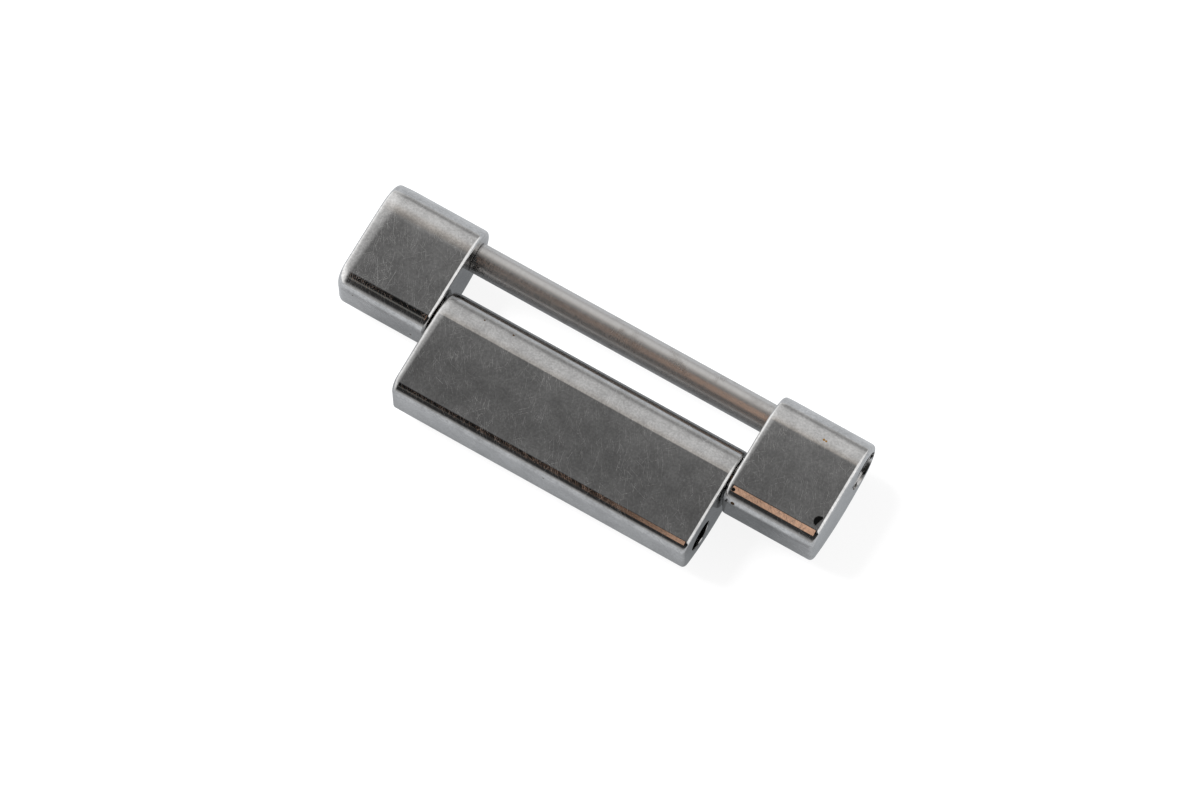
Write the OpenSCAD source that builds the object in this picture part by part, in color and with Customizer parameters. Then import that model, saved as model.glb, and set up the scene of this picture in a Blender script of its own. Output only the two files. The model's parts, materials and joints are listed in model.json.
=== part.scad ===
// Link of a three-row watch bracelet: two short outer links, and a centre link half a row ahead of them.
// X runs across the bracelet, +Y points towards the bare screw bar and +Z away from the wrist.
// The origin is the middle of the link's width and length, at the height of its underside.

/* [Row] */
// Width of the whole link across the bracelet
row_w = 20; // [19:0.5:22]
// Width of each outer link
outer_w = 3.78; // [3.5:0.02:4]
// Side play between the centre link and each outer link
side_gap = 0.06; // [0.04:0.02:0.2]
// Distance between the two pivots of one link
pitch = 2.54; // [2.46:0.02:2.6]

/* [Link outline] */
// Length of one link along the bracelet
link_l = 4.74; // [4.6:0.02:4.9]
// Thickness of a link
link_t = 2.85; // [2.75:0.05:3]
// Distance from a link's rear end to its rear pivot
rear_reach = 0.98; // [0.94:0.02:1.04]
// Radius of the domed underside
belly_r = 4.3; // [4:0.1:5]
// Radius between the top and the front face
top_front_r = 0.65; // [0.5:0.05:0.8]
// Radius between the front face and the underside
low_front_r = 0.45; // [0.3:0.05:0.6]
// Radius of the edges round each end face
edge_r = 0.15; // [0.1:0.05:0.3]

/* [Screw bar] */
// Diameter of the bar where it lies bare between the outer links
bar_d = 1.16; // [1.1:0.02:1.2]
// Diameter of the head, which runs through the right outer link
head_d = 1.5; // [1.4:0.02:1.54]
// Depth of the head's face below the end face of the link
head_sink = 0.1; // [0.05:0.05:0.2]
// Width of the screwdriver slot
slot_w = 0.24; // [0.2:0.02:0.34]
// Depth of the screwdriver slot
slot_depth = 0.32; // [0.2:0.02:0.4]
// Diameter over the thread at the far end
thread_d = 0.84; // [0.7:0.02:0.84]
// Length of the thread
thread_l = 2.5; // [2:0.1:2.8]

/* [Hinge pin] */
// Diameter of the hidden pin that carries the centre link
pin_d = 1.16; // [1.1:0.02:1.24]
// Depth of each blind bore that holds an end of the pin
pin_grip = 2.4; // [2:0.1:2.7]

/* [Fits] */
// Radial play where a bar turns or slides in a bore
play = 0.03; // [0.02:0.01:0.05]
// Width of the chamfer at the mouth of a bore
mouth = 0.08; // [0.04:0.02:0.1]

/* [Hidden] */
$fn = 96;
eps = 0.05;

// Widths and end planes across the bracelet
centre_w = row_w - 2 * outer_w - 2 * side_gap;
end_x = row_w / 2;
inner_x = end_x - outer_w;

// Places along the bracelet and heights
front_reach = link_l - rear_reach;
bar_y = (link_l + pitch) / 2 - rear_reach;
pin_y = bar_y - pitch;
axis_z = link_t / 2;
heel_y = rear_reach - link_t / 2;
belly_y = (rear_reach - front_reach) / 2;
belly_z = belly_r - link_t / 2;

// The rounding that touches the front face and the underside
low_front_y = low_front_r - front_reach;
low_front_z = belly_z - sqrt(pow(belly_r - low_front_r, 2) - pow(low_front_y - belly_y, 2));
low_front_end = 360 + atan2(low_front_z - belly_z, low_front_y - belly_y);

// The screw bar, from its tip to the face of its head
tip_x = -inner_x - thread_l;
head_face_x = end_x - head_sink;
tip_cone = 0.14;
head_edge = 0.05;
thread_hole_l = thread_l + 0.3;
drill_angle = 118;

// The hinge pin
pin_half_l = inner_x + pin_grip;
pin_nose = 0.1;

steel = [0.62, 0.62, 0.64];
satin_steel = [0.55, 0.54, 0.53];

function direction(a) = [cos(a), sin(a)];

// The corner outside a round: the wedge between two directions from its centre, less the round itself
module outside_round(centre, r, from, to) {
    difference() {
        polygon([
            centre,
            centre + 2 * r * direction(from),
            centre + 2 * r * (direction(from) + direction(to)),
            centre + 2 * r * direction(to)
        ]);
        translate(centre) circle(r = r);
    }
}

// A rectangle about the origin with rounded corners
module soft_rectangle(w, h, r) {
    difference() {
        square([w, h], center = true);
        outside_round([w / 2 - r, h / 2 - r], r, 0, 90);
        outside_round([r - w / 2, h / 2 - r], r, 90, 180);
        outside_round([r - w / 2, r - h / 2], r, 180, 270);
        outside_round([w / 2 - r, r - h / 2], r, 270, 360);
    }
}

// Side view of a link, with its rear pivot at the origin and the rear of the bracelet to the right
module side_outline() {
    difference() {
        intersection() {
            union() {
                translate([heel_y, 0]) circle(r = link_t / 2);
                translate([-front_reach, -link_t / 2]) square([front_reach + heel_y, link_t]);
            }
            translate([belly_y, belly_z]) circle(r = belly_r);
        }
        outside_round([top_front_r - front_reach, link_t / 2 - top_front_r], top_front_r, 90, 180);
        outside_round([low_front_y, low_front_z], low_front_r, 180, low_front_end);
    }
}

// Solid block of a link, with its rear pivot on the X axis and its width centred on x = 0
module link_block(w) {
    intersection() {
        translate([-w / 2, 0, 0]) rotate([90, 0, 90]) linear_extrude(w) side_outline();
        translate([0, belly_y, 0]) rotate([90, 0, 0]) linear_extrude(link_l + 1, center = true)
            soft_rectangle(w, link_t, edge_r);
        translate([0, belly_y, 0]) linear_extrude(link_t + 1, center = true)
            soft_rectangle(w, link_l, edge_r);
    }
}

// A round bar or bore along +X, starting at x
module along_x(x, d, l) {
    translate([x, 0, 0]) rotate([0, 90, 0]) cylinder(d = d, h = l);
}

// A cone along +X from one diameter to another
module cone_x(x, d1, d2, l) {
    translate([x, 0, 0]) rotate([0, 90, 0]) cylinder(d1 = d1, d2 = d2, h = l);
}

// A through bore along X with a chamfer at both mouths
module through_bore(w, d) {
    along_x(-w / 2 - eps, d, w + 2 * eps);
    cone_x(w / 2 - mouth, d, d + 4 * mouth, 2 * mouth);
    cone_x(-w / 2 - mouth, d + 4 * mouth, d, 2 * mouth);
}

// A blind bore that opens towards +X at x, with a drill point at its floor
module blind_bore(x, d, l) {
    point_l = d / 2 / tan(drill_angle / 2);
    along_x(x - l, d, l + eps);
    cone_x(x - l - point_l, 0, d, point_l);
}

module left_outer_link() {
    color(steel) difference() {
        translate([-end_x + outer_w / 2, bar_y, axis_z]) link_block(outer_w);
        translate([0, bar_y, axis_z]) {
            blind_bore(-inner_x, thread_d + 2 * play, thread_hole_l);
            cone_x(-inner_x - mouth, thread_d + 2 * play, thread_d + 2 * play + 4 * mouth, 2 * mouth);
        }
        translate([0, pin_y, axis_z]) blind_bore(-inner_x, pin_d, pin_grip);
    }
}

module right_outer_link() {
    color(steel) difference() {
        translate([end_x - outer_w / 2, bar_y, axis_z]) link_block(outer_w);
        translate([0, bar_y, axis_z]) along_x(inner_x - eps, head_d + 2 * play, outer_w + 2 * eps);
        translate([0, pin_y, axis_z]) mirror([1, 0, 0]) blind_bore(-inner_x, pin_d, pin_grip);
    }
}

module centre_link() {
    color(steel) difference() {
        translate([0, pin_y, axis_z]) link_block(centre_w);
        translate([0, pin_y, axis_z]) through_bore(centre_w, pin_d + 2 * play);
        translate([0, pin_y - pitch, axis_z]) through_bore(centre_w, bar_d + 2 * play);
    }
}

// A turned piece along X, from the points [radius, x] of its outline
module turned(points) {
    rotate([0, 90, 0]) rotate_extrude() polygon(points);
}

module screw_bar() {
    color(satin_steel) translate([0, bar_y, axis_z]) difference() {
        turned([
            [0, tip_x],
            [thread_d / 2 - tip_cone, tip_x],
            [thread_d / 2, tip_x + tip_cone],
            [thread_d / 2, -inner_x],
            [bar_d / 2, -inner_x],
            [bar_d / 2, inner_x],
            [head_d / 2, inner_x],
            [head_d / 2, head_face_x - head_edge],
            [head_d / 2 - head_edge, head_face_x],
            [0, head_face_x]
        ]);
        translate([head_face_x - slot_depth, -head_d, -slot_w / 2]) cube([1, 2 * head_d, slot_w]);
    }
}

module hinge_pin() {
    color(satin_steel) translate([0, pin_y, axis_z]) turned([
        [0, -pin_half_l],
        [pin_d / 2 - pin_nose, -pin_half_l],
        [pin_d / 2, pin_nose - pin_half_l],
        [pin_d / 2, pin_half_l - pin_nose],
        [pin_d / 2 - pin_nose, pin_half_l],
        [0, pin_half_l]
    ]);
}

left_outer_link();
right_outer_link();
centre_link();
screw_bar();
hinge_pin();
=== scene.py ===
import json
import math

import bmesh
import bpy
from mathutils import Matrix, Vector


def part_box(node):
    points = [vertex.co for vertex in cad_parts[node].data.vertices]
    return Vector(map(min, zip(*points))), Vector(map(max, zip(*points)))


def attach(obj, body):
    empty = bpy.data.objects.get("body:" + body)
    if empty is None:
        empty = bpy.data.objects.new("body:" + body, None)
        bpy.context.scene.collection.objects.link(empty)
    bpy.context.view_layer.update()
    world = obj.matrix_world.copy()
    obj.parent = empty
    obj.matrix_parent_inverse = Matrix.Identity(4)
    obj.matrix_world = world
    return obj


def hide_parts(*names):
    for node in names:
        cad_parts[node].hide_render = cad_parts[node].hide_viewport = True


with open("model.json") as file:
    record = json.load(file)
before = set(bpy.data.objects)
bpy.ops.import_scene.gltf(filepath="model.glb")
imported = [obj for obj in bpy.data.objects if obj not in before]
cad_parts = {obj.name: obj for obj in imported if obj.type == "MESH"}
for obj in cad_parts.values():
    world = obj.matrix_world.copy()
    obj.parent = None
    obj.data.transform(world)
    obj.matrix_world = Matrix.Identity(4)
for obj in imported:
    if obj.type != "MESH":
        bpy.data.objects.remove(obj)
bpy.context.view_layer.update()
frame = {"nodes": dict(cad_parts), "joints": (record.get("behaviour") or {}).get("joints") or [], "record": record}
mm = 0.001     # pieces are shaped in millimetres and scaled to metres when they are finished
weld = 0.0002  # points nearer to each other than this, in millimetres, become one
scene = bpy.context.scene
print("frame loaded")

# Places that the looks take from the frame, in millimetres
mounts = {m["name"]: m for m in frame["record"]["mounts"]}
joints = {j["name"]: j for j in frame["joints"]}
barPlace = Vector(mounts["rear_bar"]["pos_m"]) / mm
frontBorePlace = Vector(mounts["front_bore"]["pos_m"]) / mm
pinPlace = Vector(joints["centre_swing"]["pos_m"]) / mm


def nodeBox(node):
    low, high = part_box(node)
    return low / mm, high / mm


# Mesh helpers

def drawArc(bm, start, centre, degrees, steps):
    # carries the outline on from a vertex, round a centre given as (y, z)
    spun = bmesh.ops.spin(
        bm, geom=[start], cent=(0, centre[0], centre[1]), axis=(1, 0, 0),
        angle=math.radians(degrees), steps=steps)
    return next(g for g in spun["geom_last"] if isinstance(g, bmesh.types.BMVert))


def drawLine(bm, start, place):
    end = bmesh.ops.create_vert(bm, co=(start.co.x, place[0], place[1]))["vert"][0]
    bmesh.ops.contextual_create(bm, geom=[start, end])
    return end


def circlesMeet(a, ra, b, rb):
    # the rearmost of the two points where circles round a and b cross
    gap = b - a
    along = (ra * ra - rb * rb + gap.length_squared) / (2 * gap.length)
    side = math.sqrt(max(0, ra * ra - along * along))
    unit = gap.normalized()
    foot = a + along * unit
    across = Vector((unit.y, -unit.x)) * side
    return max(foot + across, foot - across, key=lambda p: p.x)


def angleOf(v):
    return math.degrees(math.atan2(v.y, v.x)) % 360


def meshObject(name, bm):
    mesh = bpy.data.meshes.new(name)
    bm.to_mesh(mesh)
    bm.free()
    piece = bpy.data.objects.new(name, mesh)
    scene.collection.objects.link(piece)
    return piece


def cutAway(piece, cutter):
    # takes the cutter's solid out of the piece and removes the cutter
    tool = piece.modifiers.new("cut", "BOOLEAN")
    tool.operation = "DIFFERENCE"
    tool.solver = "EXACT"
    tool.object = cutter
    depsgraph = bpy.context.evaluated_depsgraph_get()
    mesh = bpy.data.meshes.new_from_object(piece.evaluated_get(depsgraph))
    piece.modifiers.clear()
    piece.data = mesh
    bpy.data.objects.remove(cutter)


def roundCutter(place, radius, fromX, toX, sides=72, point=0.0):
    # a drill along X; point is the length of its cone at the fromX end
    bm = bmesh.new()
    length = toX - fromX
    made = bmesh.ops.create_cone(
        bm, cap_ends=True, segments=sides, radius1=radius, radius2=radius, depth=length)
    if point:
        floor = [v for v in made["verts"] if v.co.z < 0]
        face = [f for f in bm.faces if all(v in floor for v in f.verts)]
        tip = bmesh.ops.poke(bm, faces=face)["verts"]
        bmesh.ops.translate(bm, vec=(0, 0, -point), verts=tip)
    turn = Matrix.Rotation(math.radians(90), 4, "Y")
    move = Matrix.Translation((fromX + length / 2, place.y, place.z))
    bmesh.ops.transform(bm, matrix=move @ turn, verts=bm.verts)
    bmesh.ops.recalc_face_normals(bm, faces=bm.faces)
    return meshObject("drill", bm)


def softenMouth(piece, place, radius, x, size, segments=3):
    # rounds the sharp rim where a hole meets the flat face at x
    slack = 0.004  # how far a point of the rim may stray from its circle
    bm = bmesh.new()
    bm.from_mesh(piece.data)
    bmesh.ops.remove_doubles(bm, verts=bm.verts, dist=2 * weld)

    def onRim(v):
        off = math.hypot(v.co.y - place.y, v.co.z - place.z) - radius
        return abs(v.co.x - x) < slack / 2 and abs(off) < slack

    rim = [e for e in bm.edges if onRim(e.verts[0]) and onRim(e.verts[1])]
    bmesh.ops.bevel(
        bm, geom=rim, offset=size, offset_type="OFFSET", segments=segments, profile=0.5,
        affect="EDGES", clamp_overlap=True, material=-1)
    bm.to_mesh(piece.data)
    bm.free()


def finishPiece(piece, material, body, node, sharpAngle=38):
    # smooth faces with sharp rims, scaled to metres and set on its body
    bm = bmesh.new()
    bm.from_mesh(piece.data)
    bmesh.ops.remove_doubles(bm, verts=bm.verts, dist=weld)
    bmesh.ops.recalc_face_normals(bm, faces=bm.faces)
    for face in bm.faces:
        face.smooth = True
    for edge in bm.edges:
        edge.smooth = edge.is_manifold and edge.calc_face_angle() < math.radians(sharpAngle)
    openEdges = sum(not e.is_manifold for e in bm.edges)
    bmesh.ops.scale(bm, vec=(mm, mm, mm), verts=bm.verts)
    bm.to_mesh(piece.data)
    bm.free()
    piece.data.materials.clear()
    piece.data.materials.append(material)
    weighted = piece.modifiers.new("even normals", "WEIGHTED_NORMAL")
    weighted.keep_sharp = True
    weighted.weight = 100  # the large faces decide, so that flats shade flat
    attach(piece, body)
    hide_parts(node)
    print(piece.name, len(piece.data.polygons), "faces,", openEdges, "open edges")


# Blocks of the row

blockShape = {
    "rearReach": 0.98,       # rear end behind the rear pivot
    "rearLowRadius": 0.55,
    "bellyRadius": 4.3,
    "topFrontRadius": 0.65,
    "lowFrontRadius": 0.45,
    "edgeSegments": 8,
    "arcStep": 3,            # degrees to a facet
    "leastSteps": 4,
    "leastTurn": 0.01,       # degrees; shorter arcs are left out
    "bellySteps": 24,
    "topSteps": 12,
    "weld": 0.001,
    "crownCuts": 7,
    "crownPower": 1.5,       # how steeply the fall of the ends grows
    "frontShare": 0.5,       # width of the soft ends at the front, as a share of their width at the rear
}
# rearTurns lead from the flat top down the rear: radius, then the direction in degrees at which it ends;
# topRadius is the slight fall of the top to the front
softRear = {"rearTurns": ((3.0, 82), (1.32, 0), (1.6, None)), "topRadius": 80}
crispRear = {
    "rearTurns": ((0.8, 85), (1.69, 59), (1.19, 0), (1.6, None)),
    "topRadius": 80,
    "rearReach": 0.96,
}
centreRear = {
    "rearTurns": ((0.2, 84.5), (1.72, 59), (1.32, 0), (1.6, None)),
    "topRadius": 65,
    "rearReach": 0.97,
    "topFrontRadius": 0.44,
}
# ends of a block: radius of the edge, width and depth of the gentle fall of the skin towards the end,
# and how much further the front corner draws back
outsideLeft = {"edge": 0.12, "width": 0.66, "depth": 0.045, "corner": 0.22}
outsideRight = {"edge": 0.155, "width": 0.30, "depth": 0.008, "corner": 0.0}
insideLeft = {"edge": 0.10, "width": 0.34, "depth": 0.026, "corner": 0.02}
insideRight = {"edge": 0.145, "width": 0.30, "depth": 0.008, "corner": 0.0}
centreLeft = {"edge": 0.12, "width": 0.40, "depth": 0.032, "corner": 0.20}


def drawOutline(bm, shape, x, pivot, frontReach, thickness):
    # side view of a block, clockwise from the rear end of its flat top
    top = thickness / 2
    big = shape["topRadius"]
    centre, before, start = Vector((0, top)), 0, 90
    rearArcs = []
    for radius, end in shape["rearTurns"]:
        lean = math.radians(start)
        centre = centre + (before - radius) * Vector((math.cos(lean), math.sin(lean)))
        rearArcs.append((centre, start, end))
        before, start = radius, end
    shift = Vector((shape["rearReach"] - before - centre.x, 0))
    rearArcs = [(place + shift, fromAngle, toAngle) for place, fromAngle, toAngle in rearArcs]
    rear, rearRadius = rearArcs[-1][0], before
    topEnd = rearArcs[0][0].x
    belly = Vector(((shape["rearReach"] - frontReach) / 2, shape["bellyRadius"] - top))
    soft = shape["rearLowRadius"]
    rearLow = circlesMeet(rear, rearRadius - soft, belly, shape["bellyRadius"] - soft)
    soft = shape["lowFrontRadius"]
    lowFront = Vector((soft - frontReach, 0))
    lowFront.y = belly.y - math.sqrt((shape["bellyRadius"] - soft) ** 2 - (lowFront.x - belly.x) ** 2)
    topCentre = Vector((topEnd, top - big))
    soft = shape["topFrontRadius"]
    topFront = Vector((soft - frontReach, 0))
    topFront.y = topCentre.y + math.sqrt((big - soft) ** 2 - (topFront.x - topCentre.x) ** 2)
    meet = angleOf(topFront - topCentre)

    def at(centre):
        return (pivot.y + centre.x, pivot.z + centre.y)

    def steps(degrees):
        return max(shape["leastSteps"], round(abs(degrees) / shape["arcStep"]))

    rearEnd = angleOf(rearLow - rear) - 360
    turns = [(place, start, rearEnd if end is None else end) for place, start, end in rearArcs]
    turns += [
        (rearLow, rearEnd, angleOf(rearLow - belly) - 360),
        (belly, angleOf(rearLow - belly), angleOf(lowFront - belly)),
        (lowFront, angleOf(lowFront - belly), 180),
    ]
    last = bmesh.ops.create_vert(bm, co=(x, pivot.y + topEnd, pivot.z + top))["vert"][0]
    for centre, start, end in turns:
        if abs(end - start) > shape["leastTurn"]:
            count = shape["bellySteps"] if centre is belly else steps(end - start)
            last = drawArc(bm, last, at(centre), end - start, count)
    last = drawLine(bm, last, (pivot.y - frontReach, pivot.z + topFront.y))
    last = drawArc(bm, last, at(topFront), meet - 180, steps(180 - meet))
    drawArc(bm, last, at(topCentre), 90 - meet, shape["topSteps"])
    bmesh.ops.remove_doubles(bm, verts=bm.verts, dist=shape["weld"])
    bmesh.ops.edgeloop_fill(bm, edges=bm.edges)


def makeBlock(name, node, pivot, rear, leftEnd, rightEnd):
    low, high = nodeBox(node)
    shape = {**blockShape, **rear}
    bm = bmesh.new()
    drawOutline(bm, shape, low.x, pivot, pivot.y - low.y, high.z - low.z)
    grown = bmesh.ops.extrude_face_region(bm, geom=bm.faces[:])
    newVerts = [g for g in grown["geom"] if isinstance(g, bmesh.types.BMVert)]
    bmesh.ops.translate(bm, vec=(high.x - low.x, 0, 0), verts=newVerts)
    bmesh.ops.recalc_face_normals(bm, faces=bm.faces)
    ends = ((low.x, leftEnd), (high.x, rightEnd))
    for endX, end in ends:
        rim = [e for e in bm.edges if all(abs(v.co.x - endX) < weld / 2 for v in e.verts)]
        bmesh.ops.bevel(
            bm, geom=rim, offset=end["edge"], offset_type="OFFSET", segments=shape["edgeSegments"],
            profile=0.5, affect="EDGES", clamp_overlap=False, material=-1)
    cuts = shape["crownCuts"]
    for endX, end in ends:
        inward = 1 if endX == low.x else -1
        for i in range(1, cuts + 1):
            reach = end["edge"] + (end["width"] - end["edge"]) * i / cuts
            bmesh.ops.bisect_plane(
                bm, geom=bm.verts[:] + bm.edges[:] + bm.faces[:], dist=weld / 2,
                plane_co=(endX + inward * reach, 0, 0), plane_no=(1, 0, 0))
    # the skin falls towards each end, least at the front, and the front corner draws back
    middle = (low + high) / 2
    half = (high - low) / 2
    share = shape["frontShare"]
    for endX, end in ends:
        for v in bm.verts:
            local = share + (1 - share) * (v.co.y - low.y) / (2 * half.y)
            near = 1 - abs(v.co.x - endX) / (end["width"] * local)
            if near > 0:
                fall = end["depth"] * local * near ** shape["crownPower"]
                back = fall + (end["corner"] * near * near if v.co.y < middle.y else 0)
                v.co.y = middle.y + (v.co.y - middle.y) * (1 - back / half.y)
                v.co.z = middle.z + (v.co.z - middle.z) * (1 - fall / half.z)
    return meshObject(name, bm)


# Screw bar

barShape = {
    "sides": 96,
    "headDiameter": 1.5,
    "barDiameter": 2 * mounts["rear_bar"]["dims"]["r_mm"],
    "shoulderBevel": 0.03,
    "tipCone": 0.14,
    "threadDiameter": 0.84,
    "threadCore": 0.8,       # points nearer the axis than this share of the thread's radius stay
    "threadLength": 2.5,
    "threadPitch": 0.2,
    "threadDepth": 0.055,
    "threadMargin": 0.1,     # plain length at both ends of the thread
    "threadFade": 0.15,      # length in which its grooves reach full depth
    "ringsPerTurn": 10,
    "slotWidth": 0.24,
    "slotDepth": 0.32,
    "rimBevel": 0.05,
    "weld": 0.0005,
}


def makeBar():
    shape = barShape
    low, high = nodeBox("screw_bar")
    innerX = mounts["rear_bar"]["dims"]["length_mm"] / 2
    threadR, barR, headR = (shape[k] / 2 for k in ("threadDiameter", "barDiameter", "headDiameter"))
    shoulder, cone, rim = shape["shoulderBevel"], shape["tipCone"], shape["rimBevel"]
    outline = [
        (low.x, 0),
        (low.x, threadR - cone),
        (low.x + cone, threadR),
        (-innerX, threadR),
        (-innerX, barR - shoulder),
        (shoulder - innerX, barR),
        (innerX, barR),
        (innerX, headR - shoulder),
        (innerX + shoulder, headR),
        (high.x - rim, headR),
        (high.x, headR - rim),
        (high.x, 0),
    ]
    bm = bmesh.new()
    last = None
    for x, r in outline:
        vert = bmesh.ops.create_vert(bm, co=(x, barPlace.y, barPlace.z + r))["vert"][0]
        if last:
            bmesh.ops.contextual_create(bm, geom=[last, vert])
        last = vert
    margin = shape["threadMargin"]
    threadEdge = []
    for edge in bm.edges:
        fromX, toX = sorted(v.co.x for v in edge.verts)
        if fromX > low.x + margin and toX < weld - innerX and toX - fromX > margin:
            threadEdge.append(edge)
    rings = round(shape["threadLength"] / shape["threadPitch"] * shape["ringsPerTurn"])
    bmesh.ops.subdivide_edges(bm, edges=threadEdge, cuts=rings)
    bmesh.ops.spin(
        bm, geom=bm.verts[:] + bm.edges[:], cent=(0, barPlace.y, barPlace.z), axis=(1, 0, 0),
        angle=math.radians(360), steps=shape["sides"], use_merge=True)
    bmesh.ops.remove_doubles(bm, verts=bm.verts, dist=shape["weld"])
    bmesh.ops.recalc_face_normals(bm, faces=bm.faces)
    # the thread winds one pitch to a turn, and fades out at both ends
    for v in bm.verts:
        off = Vector((0, v.co.y - barPlace.y, v.co.z - barPlace.z))
        inside = min(v.co.x - low.x, -innerX - v.co.x) - margin
        if inside > 0 and off.length > threadR * shape["threadCore"]:
            turn = (v.co.x / shape["threadPitch"] + math.atan2(off.z, off.y) / math.tau) % 1
            groove = shape["threadDepth"] * abs(2 * turn - 1) * min(1, inside / shape["threadFade"])
            v.co -= off.normalized() * groove
    bar = meshObject("screwBar", bm)
    # the slot's cutter is centred on the head's face, so that half of its length lies outside
    slot = bmesh.new()
    bmesh.ops.create_cube(slot, size=1)
    size = Matrix.Diagonal((2 * shape["slotDepth"], 2 * shape["headDiameter"], shape["slotWidth"], 1))
    move = Matrix.Translation((high.x, barPlace.y, barPlace.z))
    bmesh.ops.transform(slot, matrix=move @ size, verts=slot.verts)
    cutAway(bar, meshObject("slotCutter", slot))
    return bar


# Shader groups

def newGroup(name, inputs, outputs):
    tree = bpy.data.node_groups.new(name, "ShaderNodeTree")
    for label, kind, default in inputs:
        socket = tree.interface.new_socket(label, in_out="INPUT", socket_type=kind)
        if default is not None:
            socket.default_value = default
    for label, kind in outputs:
        tree.interface.new_socket(label, in_out="OUTPUT", socket_type=kind)
    return tree, tree.nodes.new("NodeGroupInput"), tree.nodes.new("NodeGroupOutput")


class Wires:
    # short ways to add nodes to one tree; values may be sockets or plain numbers
    def __init__(self, tree):
        self.tree = tree

    def node(self, kind, **settings):
        made = self.tree.nodes.new(kind)
        for key, value in settings.items():
            setattr(made, key, value)
        return made

    def feed(self, socket, value):
        if isinstance(value, bpy.types.NodeSocket):
            self.tree.links.new(value, socket)
        else:
            socket.default_value = value

    def math(self, operation, *values, clamp=False):
        made = self.node("ShaderNodeMath", operation=operation, use_clamp=clamp)
        for socket, value in zip(made.inputs, values):
            self.feed(socket, value)
        return made.outputs[0]

    def mapRange(self, value, fromMin, fromMax, toMin=0.0, toMax=1.0, smooth=True):
        made = self.node("ShaderNodeMapRange")
        made.interpolation_type = "SMOOTHSTEP" if smooth else "LINEAR"
        for label, item in zip(
                ("Value", "From Min", "From Max", "To Min", "To Max"),
                (value, fromMin, fromMax, toMin, toMax)):
            self.feed(made.inputs[label], item)
        return made.outputs["Result"]

    def mixColour(self, factor, a, b):
        made = self.node("ShaderNodeMix", data_type="RGBA")
        self.feed(made.inputs[0], factor)
        self.feed(made.inputs[6], a)
        self.feed(made.inputs[7], b)
        return made.outputs[2]

    def noise(self, vector, scale, detail=2.0, roughness=0.5):
        made = self.node("ShaderNodeTexNoise")
        self.feed(made.inputs["Vector"], vector)
        made.inputs["Scale"].default_value = scale
        made.inputs["Detail"].default_value = detail
        made.inputs["Roughness"].default_value = roughness
        return made.outputs["Fac"]


hairlineShape = {
    "heightShare": 0.83,   # height counts a little less than Y, so scratches run on over the edges
    "rowShift": 9.0,       # how far neighbouring rows may slide against each other, in scratch lengths
    "spread": 0.5,         # how widely scratches lie about the middle of their row, in row widths
    "slant": 0.5,          # how widely their slopes differ
    "endFade": 0.12,
    "faintest": 0.2,
}


def hairlineGroup():
    # fine straight scratches of one rough direction, each in its own cell of a stretched grid
    shape = hairlineShape
    tree, given, out = newGroup("hairlines", [
        ("Vector", "NodeSocketVector", None),
        ("Angle", "NodeSocketFloat", 0.0),
        ("Length", "NodeSocketFloat", 2.0),
        ("Spacing", "NodeSocketFloat", 0.2),
        ("Width", "NodeSocketFloat", 0.01),
        ("Share", "NodeSocketFloat", 0.5),
        ("Seed", "NodeSocketFloat", 0.0),
    ], [("Mask", "NodeSocketFloat")])
    w = Wires(tree)
    turned = w.node("ShaderNodeVectorRotate", rotation_type="Z_AXIS")
    w.feed(turned.inputs["Vector"], given.outputs["Vector"])
    w.feed(turned.inputs["Angle"], w.math("RADIANS", given.outputs["Angle"]))
    parts = w.node("ShaderNodeSeparateXYZ")
    w.feed(parts.inputs[0], turned.outputs[0])
    height = w.math("MULTIPLY", parts.outputs["Z"], shape["heightShare"])
    across = w.math("ADD", parts.outputs["Y"], height)
    row = w.math("DIVIDE", across, given.outputs["Spacing"])
    rowCell = w.math("FLOOR", row)
    rowPart = w.math("SUBTRACT", row, rowCell)
    rowSeed = w.node("ShaderNodeTexWhiteNoise", noise_dimensions="1D")
    w.feed(rowSeed.inputs["W"], w.math("ADD", rowCell, given.outputs["Seed"]))
    shifted = w.math("ADD", w.math("DIVIDE", parts.outputs["X"], given.outputs["Length"]),
                     w.math("MULTIPLY", rowSeed.outputs["Value"], shape["rowShift"]))
    cell = w.math("FLOOR", shifted)
    cellPart = w.math("SUBTRACT", shifted, cell)
    place = w.node("ShaderNodeCombineXYZ")
    w.feed(place.inputs["X"], cell)
    w.feed(place.inputs["Y"], rowCell)
    w.feed(place.inputs["Z"], given.outputs["Seed"])
    pick = w.node("ShaderNodeTexWhiteNoise", noise_dimensions="3D")
    w.feed(pick.inputs["Vector"], place.outputs[0])
    chance = w.node("ShaderNodeSeparateColor")
    w.feed(chance.inputs[0], pick.outputs["Color"])
    fromMiddle = w.math("MULTIPLY", w.math("SUBTRACT", chance.outputs[0], 0.5), shape["spread"])
    centre = w.math("ADD", fromMiddle, 0.5)
    slope = w.math("MULTIPLY", w.math("SUBTRACT", chance.outputs[1], 0.5), shape["slant"])
    line = w.math("ADD", centre, w.math("MULTIPLY", slope, w.math("SUBTRACT", cellPart, 0.5)))
    fromLine = w.math("ABSOLUTE", w.math("SUBTRACT", rowPart, line))
    far = w.math("MULTIPLY", fromLine, given.outputs["Spacing"])
    thin = w.math("SUBTRACT", 1.0, w.math("DIVIDE", far, given.outputs["Width"]), clamp=True)
    bothEnds = w.math("MULTIPLY", cellPart, w.math("SUBTRACT", 1.0, cellPart))
    ends = w.mapRange(bothEnds, 0.0, shape["endFade"])
    there = w.math("LESS_THAN", pick.outputs["Value"], given.outputs["Share"])
    strength = w.mapRange(chance.outputs[2], 0.0, 1.0, shape["faintest"], 1.0, smooth=False)
    mask = w.math("MULTIPLY", w.math("MULTIPLY", thin, ends), w.math("MULTIPLY", there, strength))
    w.feed(out.inputs["Mask"], mask)
    return tree


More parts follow.
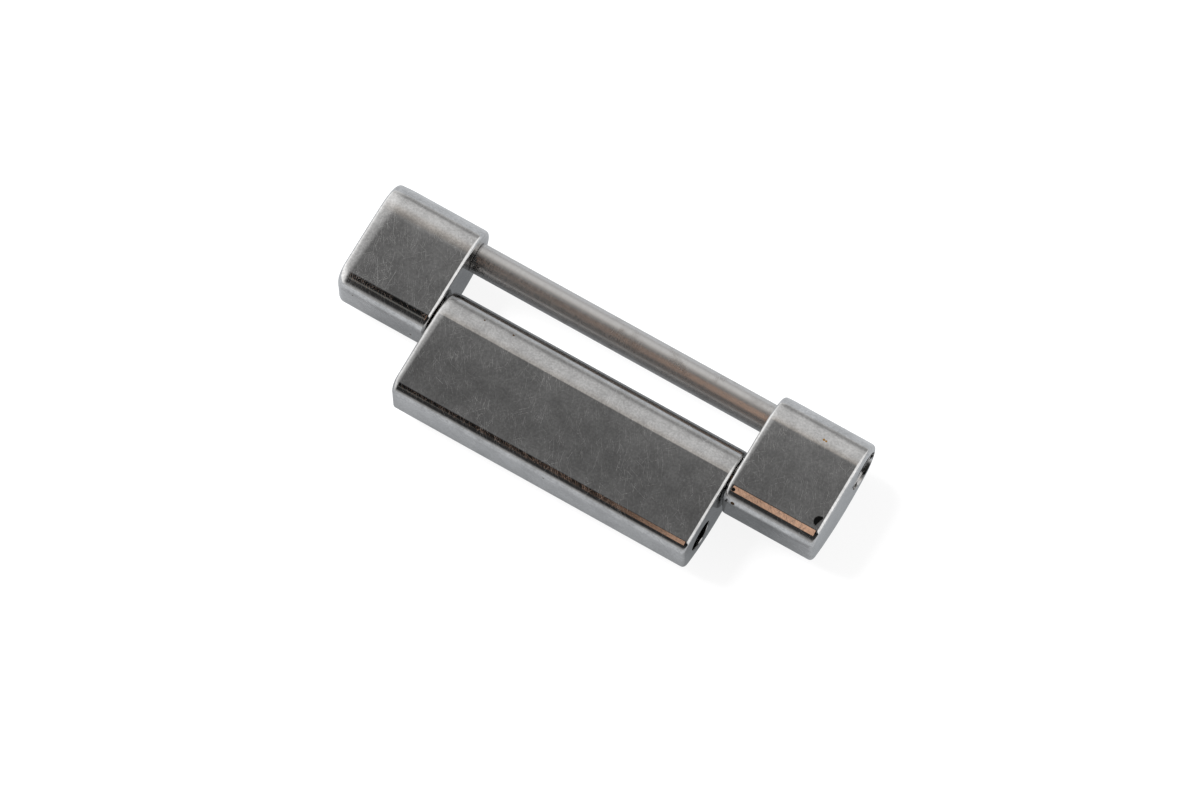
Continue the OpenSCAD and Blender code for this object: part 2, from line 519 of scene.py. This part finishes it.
def spotGroup():
    # a small round mark with a soft edge; Side, where it has a length, points to the half that is left out
    tree, given, out = newGroup("smallSpot", [
        ("Vector", "NodeSocketVector", None),
        ("Centre", "NodeSocketVector", None),
        ("Radius", "NodeSocketFloat", 0.05),
        ("Softness", "NodeSocketFloat", 0.02),
        ("Side", "NodeSocketVector", None),
    ], [("Mask", "NodeSocketFloat")])
    w = Wires(tree)
    gap = w.node("ShaderNodeVectorMath", operation="DISTANCE")
    w.feed(gap.inputs[0], given.outputs["Vector"])
    w.feed(gap.inputs[1], given.outputs["Centre"])
    outer = w.math("ADD", given.outputs["Radius"], given.outputs["Softness"])
    disc = w.mapRange(gap.outputs["Value"], given.outputs["Radius"], outer, 1.0, 0.0)
    off = w.node("ShaderNodeVectorMath", operation="SUBTRACT")
    w.feed(off.inputs[0], given.outputs["Vector"])
    w.feed(off.inputs[1], given.outputs["Centre"])
    past = w.node("ShaderNodeVectorMath", operation="DOT_PRODUCT")
    w.feed(past.inputs[0], off.outputs[0])
    w.feed(past.inputs[1], given.outputs["Side"])
    kept = w.mapRange(past.outputs["Value"], 0.0, given.outputs["Softness"], 1.0, 0.0)
    w.feed(out.inputs["Mask"], w.math("MULTIPLY", disc, kept))
    return tree


hairlines = hairlineGroup()
smallSpot = spotGroup()
print("shader groups built")


# Steel

noiseSpan = (0.3, 0.7)  # holds most of a noise's values

# noises are scale per millimetre, detail, roughness; ranges are from, to
polishLook = {
    "colour": (0.545, 0.54, 0.535, 1),
    "scratchColour": (0.66, 0.655, 0.65, 1),
    "haze": (0.55, 5.0, 0.6),
    "roughness": (0.03375, 0.0585),
    "scratchRoughness": 0.32,
    "scratchHeight": 0.00003,     # millimetres
    "patches": (1.0, 3.0, 0.5),
    "patchRange": (0.36, 0.64, 0.60, 1.0),   # where the scratches lie thin and where dense
    "clouds": (1.3, 4.0, 0.62),
    "cloudRange": (0.86, 1.10),
    "grain": (11.0, 2.0, 0.6),
    "grainRange": (0.89, 1.11),
    "waves": (0.5, 2.0, 0.5),
    "waveHeight": 0.0012,
    "spotSoftness": 0.3,          # as a share of a spot's radius
    "spotRoughness": 0.4,
    "seedStep": 17.0,
}

# angle, length, spacing, width, share: the layers of fine scratches, in degrees and millimetres
polishScratches = [
    (18, 0.45, 0.075, 0.0075, 0.20),
    (46, 0.38, 0.070, 0.0075, 0.28),
    (58, 0.55, 0.080, 0.0080, 0.28),
    (67, 0.42, 0.070, 0.0075, 0.28),
    (79, 0.50, 0.075, 0.0075, 0.25),
    (98, 0.36, 0.080, 0.0075, 0.20),
    (137, 0.45, 0.085, 0.0075, 0.20),
    (61, 1.20, 0.55, 0.0120, 0.22),
    (84, 1.00, 0.60, 0.0120, 0.18),
]


def emptyTree(owner):
    # clears the nodes of a material or world
    owner.use_nodes = True
    owner.node_tree.nodes.clear()
    return Wires(owner.node_tree)


def startMaterial(name):
    material = bpy.data.materials.new(name)
    w = emptyTree(material)
    shader = w.node("ShaderNodeBsdfPrincipled")
    output = w.node("ShaderNodeOutputMaterial")
    w.feed(output.inputs["Surface"], shader.outputs[0])
    coordinates = w.node("ShaderNodeTexCoord")
    inMillimetres = w.node("ShaderNodeMapping")
    inMillimetres.inputs["Scale"].default_value = (1 / mm, 1 / mm, 1 / mm)
    w.feed(inMillimetres.inputs["Vector"], coordinates.outputs["Object"])
    return material, w, shader, inMillimetres.outputs[0]


def scratchSum(w, vector, layers, seed):
    total = None
    for i, (angle, length, spacing, width, share) in enumerate(layers):
        layer = w.node("ShaderNodeGroup", node_tree=hairlines)
        w.feed(layer.inputs["Vector"], vector)
        values = {"Angle": angle, "Length": length, "Spacing": spacing, "Width": width, "Share": share,
                  "Seed": seed + polishLook["seedStep"] * i}
        for label, value in values.items():
            layer.inputs[label].default_value = value
        total = layer.outputs[0] if total is None else w.math("MAXIMUM", total, layer.outputs[0])
    return total


def steelBump(w, shader, height, distance, before=None):
    bump = w.node("ShaderNodeBump")
    bump.inputs["Strength"].default_value = 1.0
    bump.inputs["Distance"].default_value = distance
    w.feed(bump.inputs["Height"], height)
    if before is not None:
        w.feed(bump.inputs["Normal"], before)
    w.feed(shader.inputs["Normal"], bump.outputs[0])
    return bump.outputs[0]


def toned(colour, shadeTone):
    return tuple(c * shadeTone for c in colour[:3]) + (1,)


def polishedSteel(name, shadeTone, seed, spots):
    look = polishLook
    material, w, shader, vector = startMaterial(name)
    shader.inputs["Metallic"].default_value = 1.0
    patches = w.mapRange(w.noise(vector, *look["patches"]), *look["patchRange"])
    scratches = w.math("MULTIPLY", scratchSum(w, vector, polishScratches, seed), patches)
    clouds = w.mapRange(w.noise(vector, *look["clouds"]), *noiseSpan, *look["cloudRange"])
    grain = w.mapRange(w.noise(vector, *look["grain"]), *noiseSpan, *look["grainRange"])
    base, lighter = toned(look["colour"], shadeTone), toned(look["scratchColour"], shadeTone)
    shade = w.node("ShaderNodeVectorMath", operation="SCALE")
    w.feed(shade.inputs[0], w.mixColour(scratches, base, lighter))
    w.feed(shade.inputs["Scale"], w.math("MULTIPLY", clouds, grain))
    colour = shade.outputs[0]
    haze = w.mapRange(w.noise(vector, *look["haze"]), *noiseSpan, *look["roughness"])
    rough = w.math("ADD", haze, w.math("MULTIPLY", scratches, look["scratchRoughness"]))
    # small marks and painted reflections are mixed into the colour here
    for centre, radius, spotColour, *side in spots:
        spot = w.node("ShaderNodeGroup", node_tree=smallSpot)
        w.feed(spot.inputs["Vector"], vector)
        spot.inputs["Centre"].default_value = centre
        spot.inputs["Radius"].default_value = radius
        spot.inputs["Softness"].default_value = radius * look["spotSoftness"]
        if side:
            spot.inputs["Side"].default_value = side[0]
        colour = w.mixColour(spot.outputs[0], colour, spotColour)
        rough = w.math("ADD", rough, w.math("MULTIPLY", spot.outputs[0], look["spotRoughness"]))
    w.feed(shader.inputs["Base Color"], colour)
    w.feed(shader.inputs["Roughness"], rough)
    waves = steelBump(w, shader, w.noise(vector, *look["waves"]), look["waveHeight"] * mm)
    depth = w.math("SUBTRACT", 1.0, scratches)
    steelBump(w, shader, depth, look["scratchHeight"] * mm, before=waves)
    return material


satinLook = {
    "colour": (0.55, 0.54, 0.53, 1),
    "grimeColour": (0.16, 0.125, 0.10, 1),
    "metallic": 0.965,
    "stretch": 0.95,              # how much more the light spreads round the bar than along it
    "rings": (34.0, 3.0, 0.6),
    "ringStretch": (1.0, 0.12, 0.12),
    "ringRoughness": (0.15, 0.26),
    "ringHeight": 0.00006,
    "patches": (0.9, 4.0, 0.6),
    "grimeRange": (0.52, 0.75, 0.0, 0.5),
    "patchRoughness": (0.5, 0.8, 0.0, 0.12),
}


def satinSteel(name, axis):
    # the turning marks run round the given axis, which lies along X
    look = satinLook
    material, w, shader, vector = startMaterial(name)
    shader.inputs["Metallic"].default_value = look["metallic"]
    shader.inputs["Anisotropic"].default_value = look["stretch"]
    outwards = w.node("ShaderNodeVectorMath", operation="SUBTRACT")
    w.feed(outwards.inputs[0], vector)
    outwards.inputs[1].default_value = (0, axis.y, axis.z)
    around = w.node("ShaderNodeVectorMath", operation="CROSS_PRODUCT")
    w.feed(around.inputs[0], outwards.outputs[0])
    around.inputs[1].default_value = (1, 0, 0)
    w.feed(shader.inputs["Tangent"], around.outputs[0])
    stretched = w.node("ShaderNodeMapping")
    stretched.inputs["Scale"].default_value = look["ringStretch"]
    w.feed(stretched.inputs["Vector"], vector)
    rings = w.noise(stretched.outputs[0], *look["rings"])
    patches = w.noise(vector, *look["patches"])
    grime = w.mapRange(patches, *look["grimeRange"])
    w.feed(shader.inputs["Base Color"], w.mixColour(grime, look["colour"], look["grimeColour"]))
    ringRough = w.mapRange(rings, *noiseSpan, *look["ringRoughness"])
    patchRough = w.mapRange(patches, *look["patchRoughness"])
    w.feed(shader.inputs["Roughness"], w.math("ADD", ringRough, patchRough))
    steelBump(w, shader, rings, look["ringHeight"] * mm)
    return material


black = (0.01, 0.01, 0.01, 1)
brown = (0.10, 0.06, 0.03, 1)
rust = (0.36, 0.20, 0.06, 1)
copper = (0.45, 0.28, 0.24, 1)
# blemishes and painted reflections: centre and radius in millimetres, colour, and for a half disc where its
# missing half lies
outerMarksAndReflections = [
    # painted reflection: a dark half disc on the top of the right block, where the camera's lens shows in the
    # polished steel
    ((9.76, -0.20, 2.82), 0.19, black, (0.95, -0.30, 0.0)),
    ((8.37, 2.56, 2.79), 0.045, rust),
    ((8.47, 2.55, 2.79), 0.04, rust),
    # painted reflections: the two dark spots at the left end of the right block, near its front, are reflections
    # painted into the colour
    ((6.49, -0.69, 2.76), 0.06, black),
    ((6.67, -1.06, 2.39), 0.07, brown),
    ((-6.80, -1.10, 1.40), 0.04, brown),
    ((-9.22, -1.10, 2.20), 0.03, brown),
    ((10.0, 1.85, 1.72), 0.06, black),
]
centreBlemishes = [
    ((-4.51, 0.36, 2.64), 0.035, brown),
    ((-3.32, 0.40, 2.62), 0.04, brown),
    ((-2.06, -3.37, 2.66), 0.035, copper),
    ((0.30, -3.62, 2.31), 0.04, brown),
]
outerSteel = polishedSteel("outerSteel", shadeTone=1.0, seed=3.0, spots=outerMarksAndReflections)
# painted shade: the centre block's steel is a darker copy of the outer steel, standing in for the darker
# reflection in its flats, which in truth sit swung slightly front-down
centreSteel = polishedSteel("centreSteel", shadeTone=0.88, seed=41.0, spots=centreBlemishes)
barSteel = satinSteel("barSteel", barPlace)
pinSteel = satinSteel("pinSteel", pinPlace)
print("steel finishes built")


# Build the row

holes = {
    "headBore": 0.78,      # radii
    "threadBore": 0.45,
    "pinBore": 0.58,
    "runningBore": mounts["front_bore"]["dims"]["r_mm"],
    "threadDepth": 2.8,
    "threadPoint": 0.25,   # length of the drill's cone past that depth
    "pinDepth": 2.4,
    "pinPoint": 0.3,
    "mouthRound": 0.045,
    "past": 0.2,           # how far a drill stands out of the block
}
past = holes["past"]
leftLow, leftHigh = nodeBox("left_outer_link")
rightLow, rightHigh = nodeBox("right_outer_link")
centreLow, centreHigh = nodeBox("centre_link")

leftBlock = makeBlock("leftOuterBlock", "left_outer_link", barPlace, softRear, outsideLeft, insideRight)
cutAway(leftBlock, roundCutter(
    barPlace, holes["threadBore"], leftHigh.x - holes["threadDepth"], leftHigh.x + past,
    point=holes["threadPoint"]))
cutAway(leftBlock, roundCutter(
    pinPlace, holes["pinBore"], leftHigh.x - holes["pinDepth"], leftHigh.x + past, point=holes["pinPoint"]))
softenMouth(leftBlock, barPlace, holes["threadBore"], leftHigh.x, holes["mouthRound"])
finishPiece(leftBlock, outerSteel, "outer_pair", "left_outer_link")

rightBlock = makeBlock("rightOuterBlock", "right_outer_link", barPlace, crispRear, insideLeft, outsideRight)
cutAway(rightBlock, roundCutter(barPlace, holes["headBore"], rightLow.x - past, rightHigh.x + past))
cutAway(rightBlock, roundCutter(
    pinPlace, holes["pinBore"], rightLow.x - past, rightLow.x + holes["pinDepth"]))
softenMouth(rightBlock, barPlace, holes["headBore"], rightHigh.x, holes["mouthRound"])
finishPiece(rightBlock, outerSteel, "outer_pair", "right_outer_link")

centreBlock = makeBlock("centreBlock", "centre_link", pinPlace, centreRear, centreLeft, insideRight)
for place in (pinPlace, frontBorePlace):
    cutAway(centreBlock, roundCutter(place, holes["runningBore"], centreLow.x - past, centreHigh.x + past))
    for x in (centreLow.x, centreHigh.x):
        softenMouth(centreBlock, place, holes["runningBore"], x, holes["mouthRound"])
finishPiece(centreBlock, centreSteel, "centre", "centre_link")

screwBar = makeBar()
finishPiece(screwBar, barSteel, "bar", "screw_bar")

# the pin is hidden inside the row, so its solid stays, with its own finish
pin = frame["nodes"]["hinge_pin"]
pin.data.materials.clear()
pin.data.materials.append(pinSteel)
print("row built")


# Table, light and camera

# pitch is the angle from straight up towards the rear, lean the angle towards the right side
studio = {
    "tableHalf": 1.5,
    "tableParts": 8,
    "paperColour": (0.12, 0.12, 0.122, 1),       # the table as the camera sees it, and its added glow
    "paperGlow": (0.89, 0.89, 0.89, 1),
    "mirroredColour": (0.07, 0.07, 0.072, 1),    # the table as the steel reflects it
    "shadowedNearGlow": (0.205, 0.215, 0.225, 1),        # painted shadow: the glow is dimmer inside the area that the link covers
    "farGlow": (0.54, 0.565, 0.59, 1),
    "coveredHalf": (0.010, 0.0041, 0),           # metres
    "glowChange": (-0.002, 0.0024),              # metres past that area, from near to far
    "lampPlace": (-0.60, 0.05, 0.62),
    "lampSize": 0.5,
    "lampPower": 26.0,
    "wallColour": (1.5, 1.5, 1.5, 1),            # bright side walls
    "rightWallPitch": (-12, 4),                  # where the right wall fades in
    "cardColour": (0.90, 0.56, 0.39, 1),         # warm card to the front right
    "cardPitch": (-41.0, -1.5, 1.5),             # from, to, softness
    "cardLean": (-8.65, -6.3, 0.3),
    "lineColour": (0.17, 0.17, 0.1615, 1),       # narrow pale line to the front left
    "linePitch": (-39.0, -29.0, 2.0),
    "lineLean": (-20.0, -10.4, 0.3),
    "lensColour": (0.01, 0.01, 0.01, 1),         # dark round the camera
    "lensRadius": 11.0,
    "lensSoftness": 0.002,                       # in the cosine of that angle
}

# light by pitch: angle, brightness, and warmth where it has any
pitchLight = [
    (-180, 0.62), (-90, 0.62), (-80, 0.48), (-72, 0.25), (-66, 0.09), (-61, 0.045), (-48, 0.045),
    (-28, 0.025), (-15, 0.012), (-5, 0.012), (0, 0.04), (3.5, 0.13), (6, 0.21), (9, 0.225), (12, 0.185),
    (13.5, 0.205), (15, 0.22), (17, 0.255), (19.5, 0.32), (23, 0.38, 0.05), (26, 0.48, 0.06),
    (30, 0.64, 0.05), (36, 0.77, 0.02), (46, 0.85), (66, 0.80), (72, 0.66), (76, 0.44), (82, 0.44),
    (87, 0.66), (180, 0.68),
]
# share of the side walls in the light, by lean
leftWall = [(-90, 1.0), (-45, 1.0), (-26, 0.6), (-20, 0.38), (-16, 0.2), (-12, 0.0)]
rightWall = [(16, 0.0), (24, 0.9), (90, 1.0)]


def rampFrom(w, value, stops):
    # a colour ramp over the angles of the stops
    low, high = stops[0][0], stops[-1][0]
    ramp = w.node("ShaderNodeValToRGB")
    w.feed(ramp.inputs[0], w.mapRange(value, low, high, smooth=False))
    points = ramp.color_ramp.elements
    points.remove(points[1])
    for i, (angle, level, *warmth) in enumerate(stops):
        place = (angle - low) / (high - low)
        point = points[0] if i == 0 else points.new(place)
        point.position = place
        shift = warmth[0] * level if warmth else 0
        point.color = (level + shift, level, level - shift, 1)
    return ramp.outputs["Color"]


def band(w, value, low, high, soft):
    # 1 between two limits, 0 outside them
    rise = w.mapRange(value, low - soft, low + soft)
    fall = w.mapRange(value, high - soft, high + soft, 1.0, 0.0)
    return w.math("MULTIPLY", rise, fall)


def studioLight():
    world = bpy.data.worlds.new("studio")
    scene.world = world
    w = emptyTree(world)
    background = w.node("ShaderNodeBackground")
    output = w.node("ShaderNodeOutputWorld")
    w.feed(output.inputs["Surface"], background.outputs[0])
    direction = w.node("ShaderNodeTexCoord").outputs["Generated"]
    parts = w.node("ShaderNodeSeparateXYZ")
    w.feed(parts.inputs[0], direction)
    pitch = w.math("DEGREES", w.math("ARCTAN2", parts.outputs["Y"], parts.outputs["Z"]))
    lean = w.math("DEGREES", w.math("ARCSINE", parts.outputs["X"]))
    light = w.mixColour(rampFrom(w, lean, leftWall), rampFrom(w, pitch, pitchLight), studio["wallColour"])
    right = w.math("MULTIPLY", rampFrom(w, lean, rightWall), w.mapRange(pitch, *studio["rightWallPitch"]))
    light = w.mixColour(right, light, studio["wallColour"])
    for name in ("card", "line"):
        inPitch = band(w, pitch, *studio[name + "Pitch"])
        inLean = band(w, lean, *studio[name + "Lean"])
        light = w.mixColour(w.math("MULTIPLY", inPitch, inLean), light, studio[name + "Colour"])
    toCamera = w.node("ShaderNodeVectorMath", operation="DOT_PRODUCT")
    w.feed(toCamera.inputs[0], direction)
    toCamera.inputs[1].default_value = viewDirection()
    edge, soft = math.cos(math.radians(studio["lensRadius"])), studio["lensSoftness"]
    lens = w.mapRange(toCamera.outputs["Value"], edge - soft, edge + soft)
    w.feed(background.inputs["Color"], w.mixColour(lens, light, studio["lensColour"]))


def makeTable():
    bm = bmesh.new()
    parts = studio["tableParts"]
    bmesh.ops.create_grid(bm, x_segments=parts, y_segments=parts, size=studio["tableHalf"])
    table = meshObject("table", bm)
    material = bpy.data.materials.new("tablePaper")
    w = emptyTree(material)
    seen = w.node("ShaderNodeLightPath").outputs["Is Camera Ray"]
    paper = w.node("ShaderNodeBsdfDiffuse")
    w.feed(paper.inputs["Color"], w.mixColour(seen, studio["mirroredColour"], studio["paperColour"]))
    glow = w.node("ShaderNodeEmission")
    coordinates = w.node("ShaderNodeTexCoord")
    oneSide = w.node("ShaderNodeVectorMath", operation="ABSOLUTE")
    w.feed(oneSide.inputs[0], coordinates.outputs["Object"])
    past = w.node("ShaderNodeVectorMath", operation="SUBTRACT")
    w.feed(past.inputs[0], oneSide.outputs[0])
    past.inputs[1].default_value = studio["coveredHalf"]
    sides = w.node("ShaderNodeSeparateXYZ")
    w.feed(sides.inputs[0], past.outputs[0])
    # painted shadow: the table that the steel reflects glows dimmer near and under the link, standing in for its
    # shadow there
    far = w.mapRange(w.math("MAXIMUM", sides.outputs["X"], sides.outputs["Y"]), *studio["glowChange"])
    mirrored = w.mixColour(far, studio["shadowedNearGlow"], studio["farGlow"])
    w.feed(glow.inputs["Color"], w.mixColour(seen, mirrored, studio["paperGlow"]))
    both = w.node("ShaderNodeAddShader")
    w.feed(both.inputs[0], paper.outputs[0])
    w.feed(both.inputs[1], glow.outputs[0])
    output = w.node("ShaderNodeOutputMaterial")
    w.feed(output.inputs["Surface"], both.outputs[0])
    table.data.materials.append(material)


def makeLamp():
    light = bpy.data.lights.new("softLamp", "AREA")
    light.size = studio["lampSize"]
    light.energy = studio["lampPower"]
    lamp = bpy.data.objects.new("softLamp", light)
    lamp.location = studio["lampPlace"]
    lamp.rotation_euler = (-Vector(studio["lampPlace"])).to_track_quat("-Z", "Y").to_euler()
    lamp.visible_glossy = False
    scene.collection.objects.link(lamp)


cameraView = {
    "azimuth": 31.2,
    "elevation": 71.6,
    "roll": -0.89,
    "distance": 309.3,        # millimetres
    "pixelsPerMm": 27.51,
    "originPixel": (587.6, 411.4),
    "imageSize": (1200, 800),
    "sensor": 36.0,
    "clip": (0.01, 10.0),     # metres
}


def viewDirection():
    a, e = (math.radians(cameraView[k]) for k in ("azimuth", "elevation"))
    return Vector((math.sin(a) * math.cos(e), -math.cos(a) * math.cos(e), math.sin(e)))


def makeCamera():
    look = cameraView
    a, roll = math.radians(look["azimuth"]), math.radians(look["roll"])
    back = viewDirection()
    right = Vector((math.cos(a), math.sin(a), 0))
    up = back.cross(right)
    right, up = (
        math.cos(roll) * right + math.sin(roll) * up,
        math.cos(roll) * up - math.sin(roll) * right)
    scale = look["pixelsPerMm"]
    width, height = look["imageSize"]
    originX, originY = look["originPixel"]
    target = (right * (width / 2 - originX) + up * (originY - height / 2)) / scale
    data = bpy.data.cameras.new("camera")
    data.sensor_width = look["sensor"]
    data.lens = scale * look["distance"] * look["sensor"] / width
    data.clip_start, data.clip_end = look["clip"]
    camera = bpy.data.objects.new("camera", data)
    turn = Matrix((right, up, back)).transposed().to_4x4()
    camera.matrix_world = Matrix.Translation((target + back * look["distance"]) * mm) @ turn
    scene.collection.objects.link(camera)
    scene.camera = camera


studioLight()
makeTable()
makeLamp()
makeCamera()
scene.view_settings.view_transform = "Standard"
print("studio ready")
